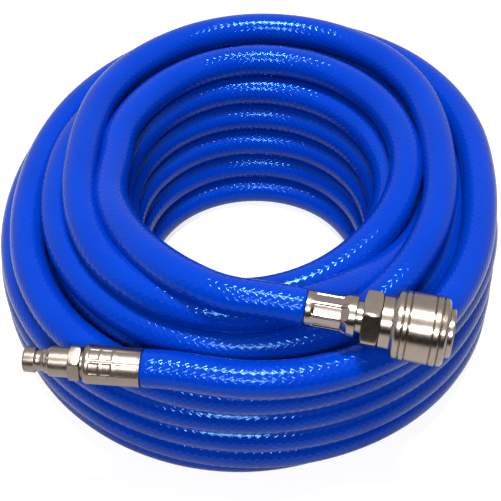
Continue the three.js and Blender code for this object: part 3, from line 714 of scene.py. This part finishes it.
def eased(outline):
    """A closed outline of (r, t) or (r, t, easing) corners, with each corner rounded off."""
    corners = [np.array(corner[:2], float) for corner in outline]
    points = []
    for i, corner in enumerate(corners):
        reach = outline[i][2] if len(outline[i]) > 2 else EDGE
        if reach == 0:
            points.append(corner)
            continue
        before = corners[i - 1] - corner
        after = corners[(i + 1) % len(corners)] - corner
        room_before, room_after = np.linalg.norm(before), np.linalg.norm(after)
        reach = min(reach, EASING_SHARE * room_before, EASING_SHARE * room_after)
        start = corner + before / room_before * reach
        end = corner + after / room_after * reach
        for s in EASING_STEPS:
            points.append((1 - s) ** 2 * start + 2 * s * (1 - s) * corner + s * s * end)
    return np.array(points)


def subdivided(points, longest):
    """A closed outline with no step longer than that."""
    found = []
    for point, after in zip(points, np.roll(points, -1, axis=0)):
        parts = max(1, math.ceil(np.linalg.norm(after - point) / longest))
        found += [point + (after - point) * i / parts for i in range(parts)]
    return np.array(found)


def turned(name, points, sides=TURNED_SIDES, reshape=None, turn=0.0, closed=True):
    """A piece turned about its fitting's axis. reshape changes the radii and the places
    along the axis by their angle, which is measured from straight up."""
    angle = turn + np.arange(sides)[None] * 2 * math.pi / sides
    r = np.repeat(points[:, :1], sides, axis=1)
    t = np.repeat(points[:, 1:], sides, axis=1)
    if reshape is not None:
        r, t = reshape(r, t, angle)
    rings = np.stack([r * np.sin(angle), t, r * np.cos(angle)], axis=-1) * MM
    return ringed_mesh(name, rings, closed=closed)


def smooth_step(low, high, value):
    s = np.clip((value - low) / (high - low), 0, 1)
    return s * s * (3 - 2 * s)


def hexagonal(across_flats, front, rear, turn):
    """A reshape that makes six chamfered flats of the outline's points at the corner
    radius: two of them, at the front and at the rear of the hexagon."""
    flat = across_flats / 2
    corner = across_flats / math.sqrt(3)
    blunt = 0.15  # taken off each long edge
    chamfer_slope = 0.6
    hair = 0.01

    def reshape(r, t, angle):
        from_flat = (angle - turn) % (math.pi / 3) - math.pi / 6
        hexagon = np.minimum(flat / np.cos(from_flat), corner - blunt)
        on_hexagon = r > corner - hair
        inset = (hexagon - flat + HEX_CHAMFER) * chamfer_slope
        inwards = np.where(t < (front + rear) / 2, inset, -inset)
        return np.where(on_hexagon, hexagon, r), np.where(on_hexagon, t + inwards, t)

    return reshape


def crimped(outside, pressed_to, first_ridge, ridge_width, flatness):
    """A reshape for a crimped ferrule: each jaw presses its outside in and leaves a narrow
    ridge on either side. pressed_to lists (t, distance from the axis) for the middle of a
    jaw. With a flatness of 1 the jaws leave flats, and with 0 they leave it round."""
    pitch = 2 * math.pi / CRIMP_JAWS
    places, reaches = np.array(pressed_to).T

    def reshape(r, t, angle):
        from_ridge = np.abs((angle - first_ridge + pitch / 2) % pitch - pitch / 2)
        pressed = smooth_step(ridge_width * RIDGE_TOP, ridge_width, from_ridge)
        reach = np.interp(t, places, reaches) / np.cos(pitch / 2 - from_ridge) ** flatness
        return np.where(r > outside, r + (np.minimum(r, reach) - r) * pressed, r), t

    return reshape


def spring_rings(mean_radius, front, rear, turns):
    """Rings of points round the wire of a compression spring, which lies closer at its
    two ends than in the middle and is a little thinner at its tips."""
    closeness, tip_share = 0.4, 0.8
    u = np.linspace(0, 1, turns * WIRE_STEPS + 1)
    angle = 2 * math.pi * turns * u
    close_ends = closeness * np.sin(2 * math.pi * u) / (2 * math.pi)
    t = front + WIRE_RADIUS + (rear - front - 2 * WIRE_RADIUS) * (u - close_ends)
    line = np.stack([mean_radius * np.cos(angle), t, mean_radius * np.sin(angle)], axis=1)
    radii = np.full(len(line), WIRE_RADIUS)
    radii[[0, -1]] = WIRE_RADIUS * tip_share
    return tube_rings(line, distances(line), radii, WIRE_SIDES) * MM


def cut_away(piece, cutter):
    """Takes the cutter's shape out of a piece and removes the cutter."""
    modifier = piece.modifiers.new("cut", "BOOLEAN")
    modifier.operation = "DIFFERENCE"
    modifier.object = cutter
    depsgraph = bpy.context.evaluated_depsgraph_get()
    mesh = bpy.data.meshes.new_from_object(piece.evaluated_get(depsgraph))
    piece.modifiers.clear()
    piece.data = mesh
    mesh.set_sharp_from_angle(angle=CREASE_ANGLE)
    bpy.data.objects.remove(cutter)


def fit(piece, node, place, material, body="hose", even=False):
    """Puts a fitting's piece in its place, to stand for its CAD node. With even, its flat
    and round stretches are evenly shaded beside the eased corners."""
    piece.matrix_world = place
    piece.data.materials.clear()
    piece.data.materials.append(material)
    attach(piece, body)
    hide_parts(node)
    if even:
        piece.modifiers.new("even_shading", "WEIGHTED_NORMAL").keep_sharp = True


# ------ the coupler, in millimetres

NOSE_LENGTH = 2.1
NOSE_SETBACK = 0.1
NOSE_RADIUS = 9.2
SLEEVE_RADIUS = 13.0
SLEEVE_FRONT = 2.4
SLEEVE_REAR = 22.5
SLEEVE_TRAVEL = 3.5
RECESS_RADIUS = 8.85  # inside the sleeve, where the balls go when it is pulled back
LAND_REAR = 13.2
LAND_SETBACK = 0.4  # of the land from the balls' middle, at rest
SPRING_ROOM_RADIUS = 10.9
END_WALL = 1.8
NECK_RADIUS = 10.0
HEX_FRONT = 26.6
HEX_REAR = 33.2
HEX_ACROSS_FLATS = 20.0
HEX_TURN = math.radians(30)
ADAPTER_NECK_RADIUS = 6.2
ADAPTER_LIP_RADIUS = 6.9  # of the lip inside the ferrule, which holds it
FERRULE_FRONT = 35.4
FERRULE_REAR = COUPLER_LENGTH / MM
FERRULE_HOLE_RADIUS = 6.5
COLLAR_RADIUS = 8.0
COLLAR_WALL = 0.8
CRIMP_MIDDLE = 5.2  # of the step down to the crimped part, from the ferrule's front
CRIMP_RADIUS = 6.95
CRIMP_WALL = 0.85
CRIMP_DEPTH = 0.62
CRIMP_FIRST_RIDGE = math.radians(-13)

BALL_T = 10.55
BALL_RADIUS = 1.75
BALL_CENTRE_RADIUS = 5.9
BALL_TRAVEL = 1.1
MOUTH_RADIUS = 6.05
MOUTH_DEPTH = 8.4
MOUTH_CHAMFER = 0.6
TIP_BORE_RADIUS = 5.2
BODY_TUBE_RADIUS = 7.55
BODY_SHOULDER_RADIUS = 9.0
BODY_STEP = 17.0
BODY_REAR_RADIUS = 8.9  # of the bore that holds the O-ring
SEAT_RADIUS = 5.95  # of the bore behind the seal
RADIAL_PLAY = 0.2
SEAL_PLAY = 0.25  # along the axis
STUB_PLAY = 0.3
SEAL_FRONT = 13.6
SEAL_REAR = 16.4
SEAL_LIP_RADIUS = 4.8
SEAL_OUTER_RADIUS = 6.2
O_RING_T = 25.6
O_RING_RADIUS = 8.05
O_RING_WIRE_RADIUS = 0.6
O_RING_WIRE_SIDES = 16
STUB_FRONT = 18.2
STUB_RADIUS = 7.6
STUB_NECK_RADIUS = 7.2
O_RING_SEAT_FRONT = 24.8
CHAMBER_RADIUS = 6.3
CHAMBER_REAR = 29.5
POPPET_NOSE_FRONT = 14.0
POPPET_NOSE_RADIUS = 4.3
POPPET_FLANGE_FRONT = 16.7
POPPET_FLANGE_REAR = 18.6
POPPET_FLANGE_RADIUS = 5.6
POPPET_STEM_RADIUS = 1.6
POPPET_STEM_REAR = 23.6
POPPET_SLOT_WIDTH = 1.8
SLEEVE_SPRING = (9.9, 13.5, 21.0, 4)  # radius to the wire's middle, front, rear, turns
VALVE_SPRING = (4.9, 18.9, 29.2, 6)
AIR_BORE_RADIUS = 2.8
STEM_INSET = 0.8  # of a barbed stem's end, from its ferrule's rear
FIRST_BARB = 5.0  # from the ferrule's front
BARB_RADIUS = 4.2
BARB_HEIGHT = 0.3
BARB_PITCH = 3.0
BALL_BODIES = ("ball_1", "ball_2", "ball_3", "ball_4")


def groove(radius, t):
    """A V groove in a turned outline, from the front to the rear."""
    depth, half_width = 0.55, 0.36
    return [(radius, t - half_width, 0.06), (radius - depth, t, 0.08), (radius, t + half_width, 0.06)]


def barbs(first, last):
    """The grips on a stem: each is a cone that narrows towards the stem's end."""
    points = []
    t = first
    while t + BARB_PITCH <= last:
        points += [(BARB_RADIUS + BARB_HEIGHT, t, 0.06), (BARB_RADIUS, t + BARB_PITCH - 0.05, 0.06)]
        t += BARB_PITCH
    return points


def ball_angle(index):
    return 2 * math.pi * (index + 0.5) / len(BALL_BODIES)


def ball_hole(index):
    """The shape of a ball's hole, which narrows towards the bore, so that it keeps the
    ball in. It reaches past the body's wall on both sides."""
    inner, outer = TIP_BORE_RADIUS - 0.6, BODY_TUBE_RADIUS + 1
    hole = turned("hole", np.array([
        (BALL_RADIUS - 0.1, inner), (BALL_RADIUS - 0.05, TIP_BORE_RADIUS),
        (BALL_RADIUS + 0.25, BALL_CENTRE_RADIUS), (BALL_RADIUS + 0.25, outer),
    ]), sides=BALL_HOLE_SIDES, closed=False)
    angle = ball_angle(index)
    outwards = Vector((math.sin(angle), 0, math.cos(angle)))
    turn = Vector((0, 1, 0)).rotation_difference(outwards).to_matrix().to_4x4()
    hole.matrix_world = Matrix.Translation((0, BALL_T * MM, 0)) @ turn
    return hole


def make_body(nickel):
    """The front body: the tube that the plug goes into, with the balls' holes and the
    seal's seat, and the neck behind the sleeve."""
    neck_front, neck_rear = SLEEVE_REAR - 1.2, HEX_FRONT - 0.2
    seal_front, seal_rear = SEAL_FRONT - SEAL_PLAY, SEAL_REAR + SEAL_PLAY
    stub_front = STUB_FRONT - STUB_PLAY
    stub_bore, seal_bore = STUB_RADIUS + RADIAL_PLAY, SEAL_OUTER_RADIUS + RADIAL_PLAY
    body = turned("coupler_front_body", eased([
        (MOUTH_RADIUS + MOUTH_CHAMFER, 0), (BODY_TUBE_RADIUS, 0), (BODY_TUBE_RADIUS, BODY_STEP),
        (BODY_SHOULDER_RADIUS, BODY_STEP), (BODY_SHOULDER_RADIUS, neck_front),
        (NECK_RADIUS, neck_front), (NECK_RADIUS, neck_rear, 0.3), (BODY_REAR_RADIUS, neck_rear),
        (BODY_REAR_RADIUS, O_RING_SEAT_FRONT), (stub_bore, O_RING_SEAT_FRONT),
        (stub_bore, stub_front), (SEAT_RADIUS, stub_front), (SEAT_RADIUS, seal_rear),
        (seal_bore, seal_rear), (seal_bore, seal_front), (TIP_BORE_RADIUS, seal_front),
        (TIP_BORE_RADIUS, MOUTH_DEPTH + 0.4), (MOUTH_RADIUS, MOUTH_DEPTH),
        (MOUTH_RADIUS, MOUTH_CHAMFER),
    ]))
    for index in range(len(BALL_BODIES)):
        cut_away(body, ball_hole(index))
    fit(body, "coupler_body", COUPLER, nickel, even=True)


def make_balls(steel):
    """The four locking balls, a little flattened at their poles so that each is closed."""
    pole = 0.02  # how far the outline stays from each pole, in radians
    for index, body in enumerate(BALL_BODIES):
        polar = np.linspace(pole, math.pi - pole, BALL_STEPS + 1)
        outline = np.stack([np.sin(polar), -np.cos(polar)], axis=1) * BALL_RADIUS
        ball = turned(f"coupler_ball_{index + 1}", outline, sides=BALL_SIDES, closed=False)
        angle = ball_angle(index)
        centre = Vector((math.sin(angle), 0, math.cos(angle))) * BALL_CENTRE_RADIUS
        centre.y = BALL_T
        place = COUPLER @ Matrix.Translation(centre * MM)
        fit(ball, f"locking_ball_{index + 1}", place, steel, body)


def make_sleeve(nickel):
    """The sleeve that is pulled back to let the plug go. Inside it are the recess that
    lets the balls out, the ramp that holds them in, the land that slides on the body, and
    the room for its spring. Outside it has two grooves near each end, for the grip."""
    top, front, rear = SLEEVE_RADIUS, SLEEVE_FRONT, SLEEVE_REAR
    land, land_front = BODY_TUBE_RADIUS + 0.25, BALL_T + LAND_SETBACK
    ramp_front = land_front - (RECESS_RADIUS - land) * SLEEVE_TRAVEL / BALL_TRAVEL
    neck_hole = NECK_RADIUS + 0.25
    sleeve = turned("coupler_sleeve", eased([
        (RECESS_RADIUS, front), (top - 1.2, front, 0.3), (top - 0.3, front + 0.8, 0.3),
        *groove(top - 0.15, front + 2.6), (top, front + 3.3), *groove(top, front + 5.3),
        *groove(top - 0.1, rear - 6.0), (top, rear - 5.4), (top, rear - 4.3),
        *groove(top - 0.1, rear - 3.7), (top - 0.15, rear - 3.1), (top - 0.2, rear - 1.6, 0.5),
        (top - 1.6, rear - 0.1, 0.4), (neck_hole, rear), (neck_hole, rear - END_WALL),
        (SPRING_ROOM_RADIUS, rear - END_WALL), (SPRING_ROOM_RADIUS, LAND_REAR),
        (land, LAND_REAR), (land, land_front), (RECESS_RADIUS, ramp_front),
    ]))
    fit(sleeve, "locking_sleeve", COUPLER, nickel, "sleeve", even=True)


def make_stop_ring(nickel):
    """The ring on the nose that stops the sleeve."""
    bore = BODY_TUBE_RADIUS + 0.15
    chamfer = 0.6
    ring = turned("coupler_nose_ring", eased([
        (bore, NOSE_SETBACK), (NOSE_RADIUS - chamfer, NOSE_SETBACK),
        (NOSE_RADIUS, NOSE_SETBACK + chamfer), (NOSE_RADIUS, NOSE_LENGTH), (bore, NOSE_LENGTH),
    ]))
    fit(ring, "sleeve_stop_ring", COUPLER, nickel, even=True)


def make_spring(kind, shape, steel):
    """The sleeve's or the valve's spring, drawn at one length; the real one shortens towards its rear
    end.
    """
    coil = ringed_mesh(f"coupler_{kind}_spring", spring_rings(*shape))
    fit(coil, f"{kind}_spring", COUPLER, steel)
    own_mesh(coil)


def make_seals(rubber):
    """The lip seal that grips the plug's tip, and the O-ring in front of the hexagon."""
    lip = SEAL_LIP_RADIUS
    seal = turned("coupler_socket_seal", eased([
        (lip, SEAL_FRONT + 0.9), (lip + 0.5, SEAL_FRONT), (SEAL_OUTER_RADIUS, SEAL_FRONT),
        (SEAL_OUTER_RADIUS, SEAL_REAR), (lip + 0.3, SEAL_REAR), (lip, SEAL_REAR - 0.4),
    ]))
    fit(seal, "socket_seal", COUPLER, rubber)
    around = np.linspace(0, 2 * math.pi, O_RING_WIRE_SIDES, endpoint=False)
    section = np.stack([np.cos(around), np.sin(around)], axis=1) * O_RING_WIRE_RADIUS
    o_ring = turned("coupler_o_ring", section + (O_RING_RADIUS, O_RING_T))
    fit(o_ring, "adapter_seal", COUPLER, rubber)


def make_poppet(nickel):
    """The valve's poppet: a nose with crossed slots for the air, a flange and a stem."""
    centre = 0.02  # instead of 0, so that no ring of points falls together
    slot_length, slot_overlap = 12, 0.6
    poppet = turned("coupler_valve_poppet", eased([
        (centre, POPPET_NOSE_FRONT, 0), (POPPET_NOSE_RADIUS, POPPET_NOSE_FRONT, 0.4),
        (POPPET_NOSE_RADIUS, POPPET_FLANGE_FRONT), (POPPET_FLANGE_RADIUS, POPPET_FLANGE_FRONT),
        (POPPET_FLANGE_RADIUS, POPPET_FLANGE_REAR), (POPPET_STEM_RADIUS, POPPET_FLANGE_REAR),
        (POPPET_STEM_RADIUS, POPPET_STEM_REAR), (centre, POPPET_STEM_REAR, 0),
    ]), sides=POPPET_SIDES, closed=False)
    corners = np.array([(-0.5, 0.5), (-0.5, -0.5), (0.5, -0.5), (0.5, 0.5)])
    corners *= (slot_length, POPPET_SLOT_WIDTH)
    ends = (POPPET_NOSE_FRONT - slot_overlap, POPPET_FLANGE_FRONT - slot_overlap)
    for turn in (0, math.pi / 2):
        c, s = math.cos(turn), math.sin(turn)
        across = corners @ np.array([(c, s), (-s, c)])
        rings = np.array([[(x, t, z) for x, z in across] for t in ends]) * MM
        cut_away(poppet, ringed_mesh("slot", rings))
    fit(poppet, "valve_poppet", COUPLER, nickel, "poppet", even=True)


def make_adapter(nickel):
    """The rear body: the stub with the valve's chamber, whose thread isn't drawn, the
    hexagon, and the barbed stem that the hose is pushed over."""
    corner = HEX_ACROSS_FLATS / math.sqrt(3)
    chamfered = HEX_ACROSS_FLATS / 2 - HEX_CHAMFER
    lip_front, lip_rear = FERRULE_FRONT + 1.3, FERRULE_FRONT + 2.6
    stem_end = FERRULE_REAR - STEM_INSET
    points = eased([
        (CHAMBER_RADIUS, STUB_FRONT), (STUB_RADIUS, STUB_FRONT), (STUB_RADIUS, O_RING_SEAT_FRONT),
        (STUB_NECK_RADIUS, O_RING_SEAT_FRONT), (STUB_NECK_RADIUS, HEX_FRONT),
        (chamfered, HEX_FRONT, 0), (corner, HEX_FRONT, 0), (corner, HEX_REAR, 0),
        (chamfered, HEX_REAR, 0), (ADAPTER_NECK_RADIUS, HEX_REAR), (ADAPTER_NECK_RADIUS, lip_front),
        (ADAPTER_LIP_RADIUS, lip_front), (ADAPTER_LIP_RADIUS, lip_rear), (BARB_RADIUS, lip_rear),
        *barbs(FERRULE_FRONT + FIRST_BARB, stem_end), (BARB_RADIUS - BARB_HEIGHT, stem_end),
        (AIR_BORE_RADIUS, stem_end), (AIR_BORE_RADIUS, CHAMBER_REAR), (CHAMBER_RADIUS, CHAMBER_REAR),
    ])
    shape = hexagonal(HEX_ACROSS_FLATS, HEX_FRONT, HEX_REAR, HEX_TURN)
    adapter = turned("coupler_rear_body", points, sides=HEX_SIDES, reshape=shape, turn=HEX_TURN)
    fit(adapter, "coupler_adapter", COUPLER, nickel, even=True)
    return adapter


def make_coupler_ferrule(nickel):
    """The ferrule behind the hexagon: a round collar, and a part that eight jaws have
    crimped, with a flared mouth for the hose."""
    front, rear = FERRULE_FRONT, FERRULE_REAR
    crimp = front + CRIMP_MIDDLE
    inside, collar_inside = CRIMP_RADIUS - CRIMP_WALL, COLLAR_RADIUS - COLLAR_WALL
    flare = CRIMP_RADIUS + 0.2
    points = subdivided(eased([
        (FERRULE_HOLE_RADIUS, front), (COLLAR_RADIUS, front, 0.5), (COLLAR_RADIUS, crimp - 1.6, 0.6),
        (CRIMP_RADIUS, crimp + 0.6, 0.8), (CRIMP_RADIUS, rear - 2.2, 0.5), (flare, rear - 1.2, 0.5),
        (flare, rear), (CRIMP_RADIUS - 0.5, rear), (inside, rear - 2), (inside, crimp + 0.6),
        (collar_inside, crimp - 1.2), (collar_inside, front + 1), (FERRULE_HOLE_RADIUS, front + 1),
    ]), CRIMPED_STEP)

    pressed = CRIMP_RADIUS - CRIMP_DEPTH
    pressed_to = [
        (crimp - 3.2, COLLAR_RADIUS + 0.4), (crimp - 2.4, COLLAR_RADIUS), (crimp + 0.4, pressed),
        (rear - 3.2, pressed), (rear - 1.6, CRIMP_RADIUS + 0.3),
    ]
    skin = 0.4
    ridge_width = math.radians(8)
    shape = crimped(CRIMP_RADIUS - skin, pressed_to, CRIMP_FIRST_RIDGE, ridge_width, flatness=0.5)
    ferrule = turned("coupler_crimped_ferrule", points, sides=CRIMPED_SIDES, reshape=shape)
    fit(ferrule, "coupler_ferrule", COUPLER, nickel)
    return ferrule


def make_coupler(nickel, steel, rubber):
    """The coupler's pieces; returned are those that hold the hose."""
    make_body(nickel)
    make_balls(steel)
    make_sleeve(nickel)
    make_stop_ring(nickel)
    make_spring("sleeve", SLEEVE_SPRING, steel)
    make_spring("valve", VALVE_SPRING, steel)
    make_seals(rubber)
    make_poppet(nickel)
    return [make_adapter(nickel), make_coupler_ferrule(nickel)]


# ------ the plug, in millimetres

PLUG_TIP_RADIUS = 4.9
PLUG_GROOVE_RADIUS = 4.0
PLUG_SHOULDER_RADIUS = 5.8
PLUG_GROOVE_FRONT = 4.7
PLUG_GROOVE_REAR = 9.6
PLUG_HEX_FRONT = 17.7
PLUG_HEX_REAR = 22.2
PLUG_HEX_ACROSS_FLATS = 13.0
PLUG_HEX_TURN = math.radians(-21)
PLUG_NECK_RADIUS = 5.3
PLUG_LIP_RADIUS = 6.3
PLUG_FERRULE_FRONT = 23.2
PLUG_REAR = PLUG_LENGTH / MM
PLUG_FERRULE_RADIUS = 7.4
PLUG_FERRULE_HOLE_RADIUS = 5.6
PLUG_FERRULE_WALL = 0.75
PLUG_CRIMP_BANDS = (4.6, 9.3)  # their middles, from the ferrule's front
PLUG_CRIMP_HALF_LENGTH = 1.6
PLUG_CRIMP_DEPTH = 0.13
PLUG_FIRST_RIDGE = math.radians(26)


def make_nipple(satin):
    """The plug itself: its tip, the groove for the balls with a step in it, the shoulder,
    the hexagon, and the barbed stem in the hose."""
    corner = PLUG_HEX_ACROSS_FLATS / math.sqrt(3)
    chamfered = PLUG_HEX_ACROSS_FLATS / 2 - HEX_CHAMFER
    tip, groove_front, groove_rear = PLUG_TIP_RADIUS, PLUG_GROOVE_FRONT, PLUG_GROOVE_REAR
    bottom, step = PLUG_GROOVE_RADIUS, PLUG_GROOVE_RADIUS + 0.7
    lip_front, lip_rear = PLUG_FERRULE_FRONT + 1.5, PLUG_FERRULE_FRONT + 2.7
    stem_end = PLUG_REAR - STEM_INSET
    bore_chamfer = 0.3
    points = eased([
        (AIR_BORE_RADIUS + bore_chamfer, 0), (tip, 0, 0.8), (tip, groove_front - 0.4, 0.2),
        (bottom, groove_front + 0.5, 0.3), (bottom, groove_rear - 2.6, 0.4),
        (step, groove_rear - 1.6, 0.3), (step, groove_rear - 0.5, 0.3),
        (PLUG_SHOULDER_RADIUS, groove_rear + 0.5, 0.3), (PLUG_SHOULDER_RADIUS, PLUG_HEX_FRONT),
        (chamfered, PLUG_HEX_FRONT, 0), (corner, PLUG_HEX_FRONT, 0), (corner, PLUG_HEX_REAR, 0),
        (chamfered, PLUG_HEX_REAR, 0), (PLUG_NECK_RADIUS, PLUG_HEX_REAR),
        (PLUG_NECK_RADIUS, lip_front), (PLUG_LIP_RADIUS, lip_front), (PLUG_LIP_RADIUS, lip_rear),
        (BARB_RADIUS, lip_rear), *barbs(PLUG_FERRULE_FRONT + FIRST_BARB, stem_end),
        (BARB_RADIUS - BARB_HEIGHT, stem_end), (AIR_BORE_RADIUS, stem_end),
        (AIR_BORE_RADIUS, bore_chamfer),
    ])
    shape = hexagonal(PLUG_HEX_ACROSS_FLATS, PLUG_HEX_FRONT, PLUG_HEX_REAR, PLUG_HEX_TURN)
    nipple = turned("plug_stem", points, sides=HEX_SIDES, reshape=shape, turn=PLUG_HEX_TURN)
    fit(nipple, "plug_nipple", PLUG, satin, even=True)
    return nipple


def make_plug_ferrule(satin):
    """The plug's ferrule, which two rows of jaws have dimpled and which is smooth behind."""
    front, rear, outside = PLUG_FERRULE_FRONT, PLUG_REAR, PLUG_FERRULE_RADIUS
    hole, inside, crimped_inside = PLUG_FERRULE_HOLE_RADIUS, outside - PLUG_FERRULE_WALL, outside - 1
    points = subdivided(eased([
        (hole, front), (outside - 0.5, front, 0.3), (outside + 0.3, front + 1.2, 0.8),
        (outside + 0.15, front + 2.6, 0.8), (outside + 0.1, front + 12, 0.8), (outside, rear),
        (inside, rear), (inside, front + 11.5), (crimped_inside, front + 10.5),
        (crimped_inside, front + 1.2), (hole, front + 1.2),
    ]), CRIMPED_STEP)

    pressed_to = [(front + 1.9, outside + 0.3)]
    for band in PLUG_CRIMP_BANDS:
        begins = front + band - PLUG_CRIMP_HALF_LENGTH
        ends = front + band + PLUG_CRIMP_HALF_LENGTH
        pressed_to += [(begins, outside - PLUG_CRIMP_DEPTH), (ends, outside - PLUG_CRIMP_DEPTH)]
        pressed_to.append((ends + 0.6, outside + 0.05))
    pressed_to += [(front + 13, outside - 0.1), (rear - 1, outside - 0.1), (rear, outside)]
    skin = 0.45
    shape = crimped(outside - skin, pressed_to, PLUG_FIRST_RIDGE, math.radians(9), flatness=0)
    ferrule = turned("plug_crimped_ferrule", points, sides=CRIMPED_SIDES, reshape=shape)
    fit(ferrule, "plug_ferrule", PLUG, satin)
    return ferrule


# ------ the object


def make_object():
    hose, centreline = make_hose()
    nickel, satin, steel = nickel_material(), satin_material(), steel_material()
    rubber = rubber_material()
    on_hose = make_coupler(nickel, steel, rubber)
    on_hose += [make_nipple(satin), make_plug_ferrule(satin)]


make_studio()
make_object()
